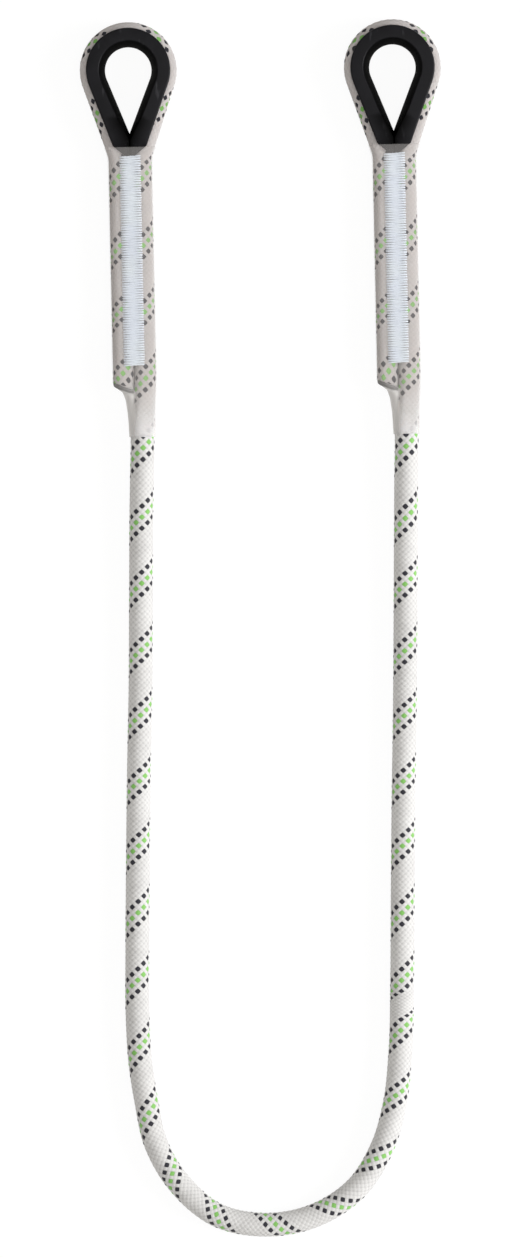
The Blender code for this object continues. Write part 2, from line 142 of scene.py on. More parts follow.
# The free rope's route between the two mouths: x, y, share of the height of the eyes
ROUTE = [
    (-0.0592, -0.1256, 0.90), (-0.0595, -0.1456, 0.48), (-0.0596, -0.1656, 0.12),
    (-0.0597, -0.1900, 0.0), (-0.0599, -0.2280, 0.0), (-0.0607, -0.2710, 0.0),
    (-0.0612, -0.3160, 0.0), (-0.0615, -0.3610, 0.0), (-0.0613, -0.3958, 0.0),
    (-0.0600, -0.4168, 0.0), (-0.0570, -0.4363, 0.0), (-0.0521, -0.4578, 0.0),
    (-0.0402, -0.4778, 0.0), (-0.0214, -0.4933, 0.0), (0.0033, -0.4981, 0.0),
    (0.0279, -0.4932, 0.0), (0.0484, -0.4795, 0.0), (0.0611, -0.4590, 0.0),
    (0.0674, -0.4367, 0.0), (0.0700, -0.4120, 0.0), (0.0709, -0.3758, 0.0),
    (0.0712, -0.3308, 0.0), (0.0716, -0.2858, 0.0), (0.0722, -0.2438, 0.0),
    (0.0726, -0.1900, 0.0), (0.0727, -0.1641, 0.12), (0.0728, -0.1441, 0.48),
    (0.0729, -0.1241, 0.90),
]

# Braid: strands each way round, over one and under one, and the mesh steps across each
BRAID_RADIUS = ROPE_RADIUS - 0.0001
STRANDS = 12
STRAND_STEPS = 4
AROUND = 2 * STRAND_STEPS * STRANDS
BLACK_STRANDS = (0, 4)
GREEN_STRANDS = (2,)
# Height of a float at whole steps from its middle, by steps along and then across
FLOAT_HEIGHT = ((1.0, 0.55, -0.35), (0.8, 0.3, -0.6), (-0.35, -0.6, -1.0))
# How far a tracer's plump float pushes its borders out, by steps from their middle
TRACER_SWELL = (0.32, 0.24, 0.0)
RELIEF = 0.00012
PLIES = 4

# How much wider the yarn lies in the sewn stretch, so that tail and rope meet
TAIL_TOUCH = 0.00014

# The tail's slanted cut shears the braid over this length, and its melted plug, dark grey as
# painted shadow of the hollow under the cut, has these rings: share of the rope's half
# width, and how far past the cut
CUT_EASE = 0.012
PLUG_SIDES = 48
PLUG = [(1.0, 0.0), (0.985, 0.0010), (0.93, 0.0016), (0.75, 0.0020), (0.4, 0.0021)]

# Places along Y from the mouth towards the eye: where soft light sets in, where the
# milky film lets go of the yarn, and where the yarn takes its soaked tint, partly painted shade
LIT_SOFTLY = (-0.1045, -0.0985)
CLINGS = (-0.0995, -0.0915)
SOAKED_AND_SHADED = (-0.094, -0.078)
FILM = (0.85, 0.855, 0.885)

# Turns of the tracers against millimetres of rope from the sleeve's mouth at end a
LAY = [
    (-407.5, -12.12), (-403.5, -12), (-372, -11), (-340.5, -10), (-306.5, -9),
    (-239.0, -7.18), (-208.7, -6.18), (-134.2, -4), (-100.6, -3), (-67.5, -2),
    (-34.7, -1), (0.15, 0), (34.7, 1), (68.0, 2), (101.5, 3), (134.0, 4), (167.1, 5),
    (199.2, 6), (232.6, 7), (266.3, 8), (299.8, 9), (333.0, 10), (366.5, 11),
    (397.0, 12), (427.4, 13), (458.3, 14), (490.3, 15), (523.6, 16), (556.3, 17),
    (567.3, 17.33), (581.2, 18), (614.9, 19), (648.5, 20), (680.8, 21), (713.6, 22),
    (745.8, 23), (779.3, 24), (812.0, 25), (847.8, 26), (883.1, 27), (916.1, 28),
    (949.6, 29), (982.6, 30), (1056.5, 32.18), (1087.9, 33.18), (1153.5, 35),
    (1188.5, 36), (1221.5, 37), (1252.7, 38), (1267.5, 38.4),
]


def smooth_step(value, low, high):
    t = min(max((value - low) / (high - low), 0), 1)
    return t * t * (3 - 2 * t)


def tangent_angle(radius, x, depth):
    """How far below the horizontal a line through (x, -depth) touches the circle."""
    return math.atan2(depth, x) - math.acos(radius / math.hypot(x, depth))


ROPE_LEG_ANGLE = tangent_angle(ROPE_EYE_RADIUS, ROPE_OFFSET, JOIN_DEPTH)
BORE_ANGLE = tangent_angle(BORE_RADIUS, 0, BORE_DEPTH)
FLANGE_ANGLE = tangent_angle(FLANGE_RADIUS, SHOULDER_HALF, SHOULDER_DEPTH)
JOIN_REACH = JOIN_RADIUS * math.tan(ROPE_LEG_ANGLE / 2)
JOIN_END = JOIN_DEPTH + JOIN_REACH


def rope_half_width(depth):
    in_seam = smooth_step(depth, FOOT_DEPTH, JOIN_END)
    at_mouth = smooth_step(depth, SHIFT_START, MOUTH_DEPTH)
    width = EYE_RADIAL + (SEAM_HALF - EYE_RADIAL) * in_seam
    return width + (MOUTH_HALF - SEAM_HALF) * at_mouth


def rope_half_height(depth):
    in_seam = smooth_step(depth, BORE_DEPTH - THIMBLE_WEB, SEAM_START)
    at_mouth = smooth_step(depth, SHIFT_START, MOUTH_DEPTH)
    height = EYE_AXIAL + (SEAM_HALF_HEIGHT - EYE_AXIAL) * in_seam
    return height + (MOUTH_HALF - SEAM_HALF_HEIGHT) * at_mouth


def touch(depth):
    return TAIL_TOUCH * (1 - smooth_step(depth, SHIFT_START, MOUTH_DEPTH))


def leg_x(depth):
    """Where the standing rope's middle lies at this depth, from the eye down to the mouth."""
    if depth < JOIN_DEPTH - JOIN_REACH * math.cos(ROPE_LEG_ANGLE):
        return ROPE_OFFSET + (JOIN_DEPTH - depth) * math.tan(ROPE_LEG_ANGLE)
    if depth < JOIN_END:
        turn = math.asin((JOIN_END - depth) / JOIN_RADIUS)
        return ROPE_OFFSET + JOIN_RADIUS * (1 - math.cos(turn))
    return ROPE_OFFSET - MOUTH_SHIFT * smooth_step(depth, SHIFT_START, MOUTH_DEPTH)


def thimble_face(depth):
    return THIMBLE_HALF - FOOT_FACE_DROP * smooth_step(depth, BORE_DEPTH, FOOT_DEPTH)


def outward(angle):
    return Vector((math.cos(angle), math.sin(angle)))


def eye_frame(letter):
    x, y = EYE_A if letter == "a" else EYE_B
    return Matrix.Translation((x, y, THIMBLE_HALF)) @ Matrix.Rotation(EYE_LEAN, 4, "Z")


# Camera, light and table

RANGE_SOCKETS = ("From Min", "From Max", "To Min", "To Max")


def add(name, data):
    """A new object in the scene."""
    obj = bpy.data.objects.new(name, data)
    bpy.context.scene.collection.objects.link(obj)
    return obj


def to_mesh(bm, name):
    mesh = bpy.data.meshes.new(name)
    bm.to_mesh(mesh)
    bm.free()
    return mesh


def set_up_stage():
    camera = add("camera", bpy.data.cameras.new("camera"))
    camera.location = (*PHOTO_CENTRE, CAMERA_HEIGHT)
    camera.data.sensor_fit = "AUTO"
    camera.data.sensor_width = SENSOR
    camera.data.lens = SENSOR * (CAMERA_HEIGHT - REST_HEIGHT) / (PHOTO_HEIGHT * PIXEL)
    camera.data.clip_end = 50
    bpy.context.scene.camera = camera
    bpy.context.scene.view_settings.view_transform = "Standard"

    lamp("key", (4.2, -0.55, 2.4), 2.6, 205, (0.985, 0.99, 1.0))
    lamp("overhead", (0.3, -0.4, 3.0), 2.0, 14, (1, 1, 1))
    light_world()

    bm = bmesh.new()
    bmesh.ops.create_grid(bm, x_segments=1, y_segments=1, size=TABLE_HALF)
    table = add("table", to_mesh(bm, "table"))
    table.location.z = TABLE_TOP
    table.data.materials.append(table_material())


def lamp(name, place, size, power, colour):
    data = bpy.data.lights.new(name, "AREA")
    data.shape = "DISK"
    data.size = size
    data.energy = power
    data.color = colour
    obj = add(name, data)
    obj.location = place
    aim = Vector((0, -0.2, 0)) - Vector(place)
    obj.rotation_euler = aim.to_track_quat("-Z", "Y").to_euler()


def light_world():
    """Soft warm light, stronger from where the rope turns back, and white to the camera."""
    world = bpy.data.worlds.new("studio")
    bpy.context.scene.world = world
    world.use_nodes = True
    nodes, links = world.node_tree.nodes, world.node_tree.links
    light = nodes["Background"]
    light.inputs["Color"].default_value = (1, 0.975, 0.935, 1)
    split = nodes.new("ShaderNodeSeparateXYZ")
    fade = nodes.new("ShaderNodeMapRange")
    for socket, value in zip(RANGE_SOCKETS, (-0.1, 0.9, 0.57, 0.42)):
        fade.inputs[socket].default_value = value
    links.new(nodes.new("ShaderNodeTexCoord").outputs["Generated"], split.inputs[0])
    links.new(split.outputs["Y"], fade.inputs["Value"])
    links.new(fade.outputs["Result"], light.inputs["Strength"])

    backdrop = nodes.new("ShaderNodeBackground")
    backdrop.inputs["Color"].default_value = (1, 1, 1, 1)
    seen = nodes.new("ShaderNodeMixShader")
    links.new(nodes.new("ShaderNodeLightPath").outputs["Is Camera Ray"], seen.inputs["Fac"])
    links.new(light.outputs[0], seen.inputs[1])
    links.new(backdrop.outputs[0], seen.inputs[2])
    links.new(seen.outputs[0], nodes["World Output"].inputs["Surface"])


def table_material():
    """White to the camera, with a trace of the object's shadow."""
    surface = bpy.data.materials.new("white_table")
    surface.use_nodes = True
    nodes, links = surface.node_tree.nodes, surface.node_tree.links
    nodes.clear()
    out = nodes.new("ShaderNodeOutputMaterial")
    mix = nodes.new("ShaderNodeMixShader")
    diffuse = nodes.new("ShaderNodeBsdfDiffuse")
    glow = nodes.new("ShaderNodeEmission")
    path = nodes.new("ShaderNodeLightPath")
    share = nodes.new("ShaderNodeMath")
    share.operation = "MULTIPLY"
    share.inputs[1].default_value = 0.90
    diffuse.inputs["Color"].default_value = (0.9, 0.9, 0.9, 1)
    glow.inputs["Strength"].default_value = 1.035
    links.new(path.outputs["Is Camera Ray"], share.inputs[0])
    links.new(share.outputs[0], mix.inputs["Fac"])
    links.new(diffuse.outputs[0], mix.inputs[1])
    links.new(glow.outputs[0], mix.inputs[2])
    links.new(mix.outputs[0], out.inputs["Surface"])
    return surface


# Materials

class Finish:
    """A Principled material and short calls for the nodes that shape it."""

    def __init__(self, name, colour, roughness, **sockets):
        self.material = bpy.data.materials.new(name)
        self.material.use_nodes = True
        self.nodes = self.material.node_tree.nodes
        self.links = self.material.node_tree.links
        self.shader = self.nodes["Principled BSDF"]
        self.shader.inputs["Base Color"].default_value = (*colour, 1)
        self.shader.inputs["Roughness"].default_value = roughness
        for socket, value in sockets.items():
            self.shader.inputs[socket.replace("_", " ")].default_value = value

    def node(self, kind, **values):
        node = self.nodes.new(kind)
        for key, value in values.items():
            setattr(node, key, value)
        return node

    def noise(self, vector, scale, detail=3.0, stretch=None):
        texture = self.node("ShaderNodeTexNoise")
        texture.inputs["Scale"].default_value = scale
        texture.inputs["Detail"].default_value = detail
        if stretch:
            mapping = self.node("ShaderNodeMapping")
            mapping.inputs["Scale"].default_value = stretch
            self.links.new(vector, mapping.inputs["Vector"])
            vector = mapping.outputs["Vector"]
        self.links.new(vector, texture.inputs["Vector"])
        return texture.outputs["Fac"]

    def part(self, vector, axis):
        node = self.node("ShaderNodeSeparateXYZ")
        self.links.new(vector, node.inputs[0])
        return node.outputs[axis]

    def spread(self, value, *bounds):
        """The value, with the first two of its four bounds spread onto the last two."""
        node = self.node("ShaderNodeMapRange")
        for key, number in zip(RANGE_SOCKETS, bounds):
            node.inputs[key].default_value = number
        self.links.new(value, node.inputs["Value"])
        return node.outputs["Result"]

    def maths(self, operation, first, second=None):
        node = self.node("ShaderNodeMath", operation=operation)
        for socket, value in zip(node.inputs, (first, second)):
            if isinstance(value, (int, float)):
                socket.default_value = value
            elif value is not None:
                self.links.new(value, socket)
        return node.outputs[0]

    def mix(self, share, first, second):
        node = self.node("ShaderNodeMix", data_type="RGBA")
        self.links.new(share, node.inputs["Factor"])
        for socket, colour in ((node.inputs[6], first), (node.inputs[7], second)):
            if isinstance(colour, tuple):
                socket.default_value = (*colour, 1)
            else:
                self.links.new(colour, socket)
        return node.outputs[2]

    def bump(self, height, strength, distance, before=None):
        node = self.node("ShaderNodeBump")
        node.inputs["Strength"].default_value = strength
        node.inputs["Distance"].default_value = distance
        self.links.new(height, node.inputs["Height"])
        if before:
            self.links.new(before, node.inputs["Normal"])
        return node.outputs["Normal"]

    def flattened_normal(self, share):
        """The surface's normal, turned towards its front or back by this share."""
        normal = self.node("ShaderNodeTexCoord").outputs["Normal"]
        squash = self.node("ShaderNodeVectorMath", operation="MULTIPLY")
        squash.inputs[1].default_value = (0.05, 0.05, 1)
        self.links.new(normal, squash.inputs[0])
        blend = self.node("ShaderNodeMix", data_type="VECTOR")
        if isinstance(share, float):
            blend.inputs["Factor"].default_value = share
        else:
            self.links.new(share, blend.inputs["Factor"])
        self.links.new(normal, blend.inputs[4])
        self.links.new(squash.outputs[0], blend.inputs[5])
        turn = self.node("ShaderNodeVectorTransform", vector_type="NORMAL")
        turn.convert_from, turn.convert_to = "OBJECT", "WORLD"
        self.links.new(blend.outputs[1], turn.inputs[0])
        return turn.outputs[0]

    def put(self, value, socket):
        self.links.new(value, self.shader.inputs[socket])


def strand_finish(name, colour, shade, sheen, soaked_and_shaded=None, lit_through=False):
    """Yarn of the braid: fine filaments along each strand, with painted shade down in the pits.
    """
    finish = Finish(name, colour, 0.72, Sheen_Weight=sheen, Sheen_Roughness=0.4)
    strand = finish.node("ShaderNodeUVMap", uv_map="strand").outputs["UV"]
    place = finish.node("ShaderNodeTexCoord").outputs["Object"]
    relief = finish.node("ShaderNodeAttribute", attribute_name="relief").outputs["Fac"]
    turns = finish.maths("MULTIPLY", finish.part(strand, "X"), 2 * math.pi * PLIES)
    ply = finish.maths("COSINE", turns)
    hair = finish.noise(strand, 3.0, 4.0, (9, 0.8, 1))
    # Painted shade: the relief darkens the yarn down in the braid's pits; the noises below add
    # real stains
    pit_shade_and_stain = finish.spread(relief, 0.0, 0.62, 0.42, 0.0)
    for stain, low, high, most in (
        (hair, 0.35, 0.75, 0.16),
        (finish.noise(place, 160, 2.0), 0.45, 0.75, 0.16),
        (finish.noise(place, 26, 2.0), 0.4, 0.7, 0.10),
    ):
        pit_shade_and_stain = finish.maths("ADD", pit_shade_and_stain, finish.spread(stain, low, high, 0.0, most))
    if soaked_and_shaded:
        soft = soak_and_shade(finish, place, pit_shade_and_stain, (colour, shade, soaked_and_shaded))
    else:
        finish.put(finish.mix(pit_shade_and_stain, colour, shade), "Base Color")
        soft = None
    if lit_through:
        finish.shader.inputs["Subsurface Weight"].default_value = 0.85
        finish.shader.inputs["Subsurface Radius"].default_value = (1, 0.94, 0.90)
        finish.shader.inputs["Subsurface Scale"].default_value = 0.007
    yarn = finish.bump(ply, 0.35, 0.00006, soft)
    finish.put(finish.bump(hair, 0.5, 0.00008, yarn), "Normal")
    return finish.material


def soak_and_shade(finish, place, pit_shade_and_stain, colours):
    """Tints the yarn of a sewn end warmer, and darker as painted shade, and lets the film cling
    to it next to the mouth.

    Gives the normal of its softer light, which comes through the film from all sides.
    """
    colour, shade, soaked_and_shaded = colours
    along = finish.part(place, "Y")
    tint = finish.mix(finish.spread(along, *SOAKED_AND_SHADED, 0, 1), colour, soaked_and_shaded)
    # Painted shade down in the pits, as on the bare braid
    tint = finish.mix(finish.maths("MULTIPLY", pit_shade_and_stain, 0.6), tint, shade)
    clings = finish.spread(along, *CLINGS, 0.75, 0)
    finish.put(finish.mix(clings, tint, FILM), "Base Color")
    return finish.flattened_normal(finish.spread(along, *LIT_SOFTLY, 0, 1))


def thread_finish():
    """Bluish-white polyester thread, with flecks and a faint greenish cast."""
    finish = Finish("seam_thread", (0.66, 0.72, 0.80), 0.45, Sheen_Weight=0.15)
    pale, shade, cast = (0.73, 0.79, 0.88), (0.61, 0.67, 0.77), (0.79, 0.86, 0.84)
    place = finish.node("ShaderNodeTexCoord").outputs["Object"]
    fleck = finish.spread(finish.noise(place, 420, 3.0), 0.52, 0.78, 0, 1)
    cloud = finish.spread(finish.noise(place, 60, 2.0), 0.45, 0.75, 0, 0.4)
    twist = finish.noise(place, 2600, 2.0)
    finish.put(finish.mix(cloud, finish.mix(fleck, pale, shade), cast), "Base Color")
    finish.put(finish.bump(twist, 0.25, 0.0001), "Normal")
    return finish.material


def thimble_finish():
    """Black moulded plastic, satin, with a faint grain, handling scuffs and painted shade in the
    throat.
    """
    finish = Finish("black_plastic", (0.006, 0.006, 0.0065), 0.42, Specular_IOR_Level=0.15)
    deep, grey = (0.0043, 0.0042, 0.0056), (0.0083, 0.0081, 0.0102)
    scuffed, throat_shade_colour = (0.030, 0.030, 0.034), (0.0012, 0.0012, 0.0012)
    place = finish.node("ShaderNodeTexCoord").outputs["Object"]
    grain = finish.noise(place, 1500, 3.0)
    mottle = finish.noise(place, 140, 3.0)
    worn = finish.spread(finish.noise(place, 320, 5.0, (1, 0.22, 1)), 0.63, 0.74, 0, 1)
    throat = finish.node("ShaderNodeAttribute", attribute_name="throat").outputs["Fac"]
    colour = finish.mix(finish.spread(mottle, 0.35, 0.7, 0, 1), deep, grey)
    colour = finish.mix(worn, colour, scuffed)
    # Painted shade: the throat is coloured darker and reflects less than the flanges
    finish.put(finish.mix(throat, colour, throat_shade_colour), "Base Color")
    finish.put(finish.spread(throat, 0, 1, 0.15, 0.03), "Specular IOR Level")
    finish.put(finish.spread(mottle, 0.3, 0.7, 0.38, 0.52), "Roughness")
    finish.put(finish.bump(grain, 0.12, 0.00006), "Normal")
    return finish.material


def sleeve_finish():
    """Milky shrink tube that the rope shows through, milkier by its veil, which over the hollow
    below the tail is partly painted shade.
    """
    finish = Finish("milky_sleeve", (0.66, 0.62, 0.60), 0.40, Specular_IOR_Level=0.5)
    pale, warm, veiled = (0.80, 0.77, 0.755), (0.74, 0.71, 0.69), (0.92, 0.90, 0.885)
    place = finish.node("ShaderNodeTexCoord").outputs["Object"]
    cloud = finish.noise(place, 90, 3.0, (1, 0.35, 1))
    draw = finish.noise(place, 300, 3.0, (1, 0.12, 1))
    milk_and_hollow_shade = finish.node("ShaderNodeAttribute", attribute_name="milk_and_hollow_shade").outputs["Fac"]
    colour = finish.mix(finish.spread(cloud, 0.35, 0.7, 0, 1), pale, warm)
    # Paler and more opaque where veiled; over the hollow below the tail this is partly painted
    # shade
    finish.put(finish.mix(milk_and_hollow_shade, colour, veiled), "Base Color")
    finish.put(finish.spread(cloud, 0.3, 0.7, 0.32, 0.50), "Roughness")
    finish.put(finish.spread(milk_and_hollow_shade, 0, 1, 0.09, 0.60), "Alpha")
    soft = finish.flattened_normal(0.7)
    finish.put(finish.bump(draw, 0.25, 0.0003, soft), "Normal")
    return finish.material


def make_finishes():
    black = (0.018, 0.018, 0.028), (0.008, 0.008, 0.012)
    green = (0.23, 0.54, 0.125), (0.14, 0.36, 0.075)
    return {
        "braid": [
            strand_finish("white_yarn", (0.715, 0.71, 0.70), (0.34, 0.33, 0.33), 0.15),
            strand_finish("black_yarn", *black, 0.10),
            strand_finish("green_yarn", *green, 0.12),
        ],
        "soaked_shaded_braid": [
            # The sewn ends' white yarn: its darker tint is painted shade; black and green keep
            # their own colours
            strand_finish(
                "soaked_shaded_yarn", (0.72, 0.715, 0.71), (0.38, 0.35, 0.34), 0.05,
                soaked_and_shaded=(0.59, 0.555, 0.545), lit_through=True,
            ),
            strand_finish("soaked_black_yarn", *black, 0.10, soaked_and_shaded=black[0]),
            strand_finish("soaked_green_yarn", *green, 0.12, soaked_and_shaded=green[0]),
        ],
        # The tail's cut end: dark grey as painted shadow of the hollow under the cut
        "cut": strand_finish("shadowed_cut_end", (0.24, 0.235, 0.235), (0.15, 0.145, 0.145), 0.05),
        "thread": thread_finish(),
        "thimble": thimble_finish(),
        "sleeve": sleeve_finish(),
    }


# The whole rope as one line, from the tail at end a to the tail at end b

def eye_line():
    """One eye's centreline in its own frame, from the tail's end to the sleeve's mouth."""
    down = -outward(math.pi / 2 - ROPE_LEG_ANGLE)
    top = outward(-ROPE_LEG_ANGLE) * ROPE_EYE_RADIUS
    bend = Vector((ROPE_OFFSET, -JOIN_DEPTH)) - down * JOIN_REACH
    count = round((bend - top).length / LINE_STEP)
    leg = [top.lerp(bend, k / count) for k in range(1, count)]
    centre = Vector((ROPE_OFFSET + JOIN_RADIUS, -JOIN_END))
    for k in range(JOIN_STEPS + 1):
        turn = math.pi - ROPE_LEG_ANGLE * (1 - k / JOIN_STEPS)
        leg.append(centre + outward(turn) * JOIN_RADIUS)
    left_leg = [Vector((-point.x, point.y)) for point in reversed(leg)]
    tail = []
    count = round((TAIL_END - JOIN_END) / LINE_STEP)
    for k in range(count):
        tail.append(Vector((-ROPE_OFFSET, -TAIL_END + (TAIL_END - JOIN_END) * k / count)))
    over = []
    for k in range(CROWN_STEPS + 1):
        turn = math.pi + ROPE_LEG_ANGLE - (math.pi + 2 * ROPE_LEG_ANGLE) * k / CROWN_STEPS
        over.append(outward(turn) * ROPE_EYE_RADIUS)
    standing = []
    count = round((MOUTH_DEPTH - JOIN_END) / LINE_STEP)
    for k in range(1, count + 1):
        depth = JOIN_END + (MOUTH_DEPTH - JOIN_END) * k / count
        standing.append(Vector((leg_x(depth), -depth)))
    return tail + left_leg + over + leg + standing


def free_line():
    """The smooth curve through the route, from mouth to mouth."""
    ends = [eye_frame(letter) @ Vector((leg_x(MOUTH_DEPTH), -MOUTH_DEPTH, 0)) for letter in "ab"]
    out = eye_frame("a").to_3x3() @ Vector((0, -1, 0))
    points = [ends[0]]
    for x, y, height in ROUTE:
        points.append(Vector((x, y, REST_HEIGHT + (THIMBLE_HALF - REST_HEIGHT) * height)))
    points.append(ends[1])
    spans = [(b - a).length for a, b in zip(points, points[1:])]
    slopes = [out]
    for k in range(1, len(points) - 1):
        before = (points[k] - points[k - 1]) / spans[k - 1]
        after = (points[k + 1] - points[k]) / spans[k]
        slopes.append((before * spans[k] + after * spans[k - 1]) / (spans[k] + spans[k - 1]))
    slopes.append(-out)
    line = [points[0]]
    for k, span in enumerate(spans):
        for step in range(1, CURVE_STEPS + 1):
            t = step / CURVE_STEPS
            a = points[k] * (1 + 2 * t) * (1 - t) ** 2
            b = slopes[k] * span * t * (1 - t) ** 2
            c = points[k + 1] * t * t * (3 - 2 * t)
            d = slopes[k + 1] * span * t * t * (t - 1)
            line.append(a + b + c + d)
    return line


class Rope:
    """The rope's line with its half sizes, and where along it the braid's rows lie."""

    def __init__(self):
        eye = eye_line()
        free = free_line()
        sizes = [(rope_half_width(-p.y) + touch(-p.y), rope_half_height(-p.y)) for p in eye]
        first = [eye_frame("a") @ Vector((p.x, p.y, 0)) for p in eye]
        last = [eye_frame("b") @ Vector((p.x, p.y, 0)) for p in reversed(eye)]
        self.points = np.array([tuple(p) for p in first + free[1:-1] + last])
        spans = np.linalg.norm(np.diff(self.points, axis=0), axis=1)
        self.along = np.concatenate([[0], np.cumsum(spans)])
        self.along -= self.along[len(first) - 1]
        self.free_length = self.along[len(first) + len(free) - 2]
        self.mouths = (self.along[len(first) - 1], self.free_length)
        wide = [w for w, h in sizes]
        high = [h for w, h in sizes]
        between = [BRAID_RADIUS] * (len(free) - 2)
        self.half_width = np.array(wide + between + wide[::-1])
        self.half_height = np.array(high + between + high[::-1])
        direction = np.gradient(self.points, axis=0)
        self.direction = direction / np.linalg.norm(direction, axis=1)[:, None]
        lay = np.array(LAY)
        self.lay_length = lay[:, 0] / 1000
        self.lay_turns = lay[:, 1]

    def row(self, length):
        """The even row of the braid that lies nearest to this length of rope."""
        turns = np.interp(length, self.lay_length, self.lay_turns)
        return 2 * round(turns * AROUND / 2)

    def length_at(self, row):
        return np.interp(row / AROUND, self.lay_turns, self.lay_length)

    def section(self, length):
        """Centre, left, up, half width and half height at these lengths of rope."""
        def at(values):
            return np.interp(length, self.along, values)
        centre = np.stack([at(self.points[:, k]) for k in range(3)], 1)
        ahead = np.stack([at(self.direction[:, k]) for k in range(3)], 1)
        ahead /= np.linalg.norm(ahead, axis=1)[:, None]
        up = np.array([0.0, 0.0, 1.0]) - ahead * ahead[:, 2:3]
        up /= np.linalg.norm(up, axis=1)[:, None]
        left = np.cross(up, ahead)
        return centre, left, up, at(self.half_width), at(self.half_height)


def crossing_at(p, q):
    """The crossing that each place round (p) and along (q) the rope lies in.

    Strands of one way step (1, -1) and of the other (1, 1). Gives the steps from the
    middle of the one and of the other, and their numbers. The one is on top where the
    numbers add up to an even number.
    """
    across = (p + q) / 2
    along = (p - q) / 2 - 1
    one = np.floor(across / STRAND_STEPS + 0.5)
    other = np.floor(along / STRAND_STEPS + 0.5)
    from_one = across - one * STRAND_STEPS
    from_other = along - other * STRAND_STEPS
    return from_one, from_other, one, other


def tracer_colour(one, other):
    """0 for white, 1 for black and 2 for green at a crossing."""
    on_top = (one + other) % 2 == 0
    black = on_top & np.isin(one % STRANDS, BLACK_STRANDS)
    green = on_top & np.isin(one % STRANDS, GREEN_STRANDS)
    return np.where(black, 1, np.where(green, 2, 0))


def tracer_swell(p, q):
    """Steps along and across the tracers by which their floats push each place out."""
    from_one, from_other, one, other = crossing_at(p, q)
    here = (tracer_colour(one, other) > 0).astype(float)

    def push(from_end, from_side, neighbour):
        on_border = from_end == -STRAND_STEPS / 2
        plump = np.array(TRACER_SWELL)[abs(from_side).astype(int)]
        return on_border * plump * ((neighbour > 0) - here)

    along = push(from_other, from_one, tracer_colour(one, other - 1))
    across = push(from_one, from_other, tracer_colour(one - 1, other))
    return along, across


def flat_braid(rows):
    """The unrolled braid: sixteen small diamonds for each crossing, p across, q up."""
    bm = bmesh.new()
    columns = AROUND // 2
    bmesh.ops.create_grid(bm, x_segments=columns, y_segments=rows, size=0.5)
    for vert in bm.verts:
        vert.co.x = round((vert.co.x + 0.5) * columns) * 2
        vert.co.y = round((vert.co.y + 0.5) * rows) * 2
    squares = bm.edges[:]
    bmesh.ops.poke(bm, faces=bm.faces[:])
    inner = [edge for edge in squares if len(edge.link_faces) == 2]
    bmesh.ops.dissolve_edges(bm, edges=inner, use_verts=False)
    first = {round(v.co.y): v for v in bm.verts if v.co.x < 0.5}
    weld = {v: first[round(v.co.y)] for v in bm.verts if v.co.x > AROUND - 0.5}
    bmesh.ops.weld_verts(bm, targetmap=weld)
    meet = set(first.values())
    closing = [e for e in bm.edges if e.verts[0] in meet and e.verts[1] in meet]
    closing = [e for e in closing if len(e.link_faces) == 2]
    bmesh.ops.dissolve_edges(bm, edges=closing, use_verts=False)
    bmesh.ops.reverse_faces(bm, faces=bm.faces[:])
    return to_mesh(bm, "flat_braid")


def read(collection, key, width=1, kind=float):
    values = np.zeros(len(collection) * width, kind)
    collection.foreach_get(key, values)
    return values.reshape(-1, width) if width > 1 else values


def braided_rope(name, rope, first_row, last_row, finishes, cut=None):
    """A stretch of the rope's sheath between two rows of its braid.

    A stretch with a cut, which is its length and the side that reaches further, ends
    there on a slant.
    """
    mesh = flat_braid((last_row - first_row) // 2)
    flat = read(mesh.vertices, "co", 3)
    p = flat[:, 0]
    q = flat[:, 1] + first_row
    from_one, from_other, one, other = crossing_at(p, q)
    one_on_top = (one + other) % 2 == 0
    lengthwise = np.where(one_on_top, from_other, from_one).astype(int)
    sideways = np.where(one_on_top, from_one, from_other).astype(int)
    height = np.array(FLOAT_HEIGHT)[abs(lengthwise), abs(sideways)]
    paint_strands(mesh, p, q, height, finishes)

    along, across = tracer_swell(p, q)
    p = p + along + across
    q = q + across - along

    length = rope.length_at(q)
    centre, left, up, wide, high = rope.section(length)
    angle = p * (2 * math.pi / AROUND)
    rise = RELIEF * height
    spot = centre + left * ((wide + rise) * np.sin(angle))[:, None]
    spot += up * ((high + rise) * np.cos(angle))[:, None]
    if cut:
        near = np.clip(1 - np.abs(length - cut[0]) / CUT_EASE, 0, 1)
        spot[:, 1] -= TAIL_SLANT * (0.5 + 0.5 * cut[1] * np.sin(angle)) * near
    mesh.vertices.foreach_set("co", spot.ravel())
    mesh.update()
    mesh.shade_smooth()
    mesh.name = name
    return add(name, mesh)


def paint_strands(mesh, p, q, height, finishes):
    """Each face takes the colour of the strand that is on top there, and its own UV."""
    relief = mesh.attributes.new("relief", "FLOAT", "POINT")
    relief.data.foreach_set("value", ((height + 1) / 2).astype(np.float32))
    total = read(mesh.polygons, "loop_total", kind=int)
    corner = read(mesh.loops, "vertex_index", kind=int)
    face_of = np.repeat(np.arange(len(total)), total)
    corner_p, corner_q = p[corner], q[corner]
    highest = np.zeros(len(total))
    np.maximum.at(highest, face_of, corner_p)
    corner_p[(highest[face_of] > 0.75 * AROUND) & (corner_p < 0.25 * AROUND)] += AROUND
    middle_p = np.bincount(face_of, corner_p) / total
    middle_q = np.bincount(face_of, corner_q) / total
    _, _, one, other = crossing_at(middle_p, middle_q)
    for material in finishes:
        mesh.materials.append(material)
    mesh.polygons.foreach_set("material_index", tracer_colour(one, other).astype(np.int32))

    across = (corner_p + corner_q) / 2 / STRAND_STEPS
    along = (corner_p - corner_q) / 2 / STRAND_STEPS
    way = ((one + other) % 2 == 0)[face_of]
    uv = np.stack([np.where(way, across, along), np.where(way, along, across)], 1)
    layer = mesh.uv_layers.new(name="strand")
    layer.data.foreach_set("uv", uv.astype(np.float32).ravel())


# Lofted pieces

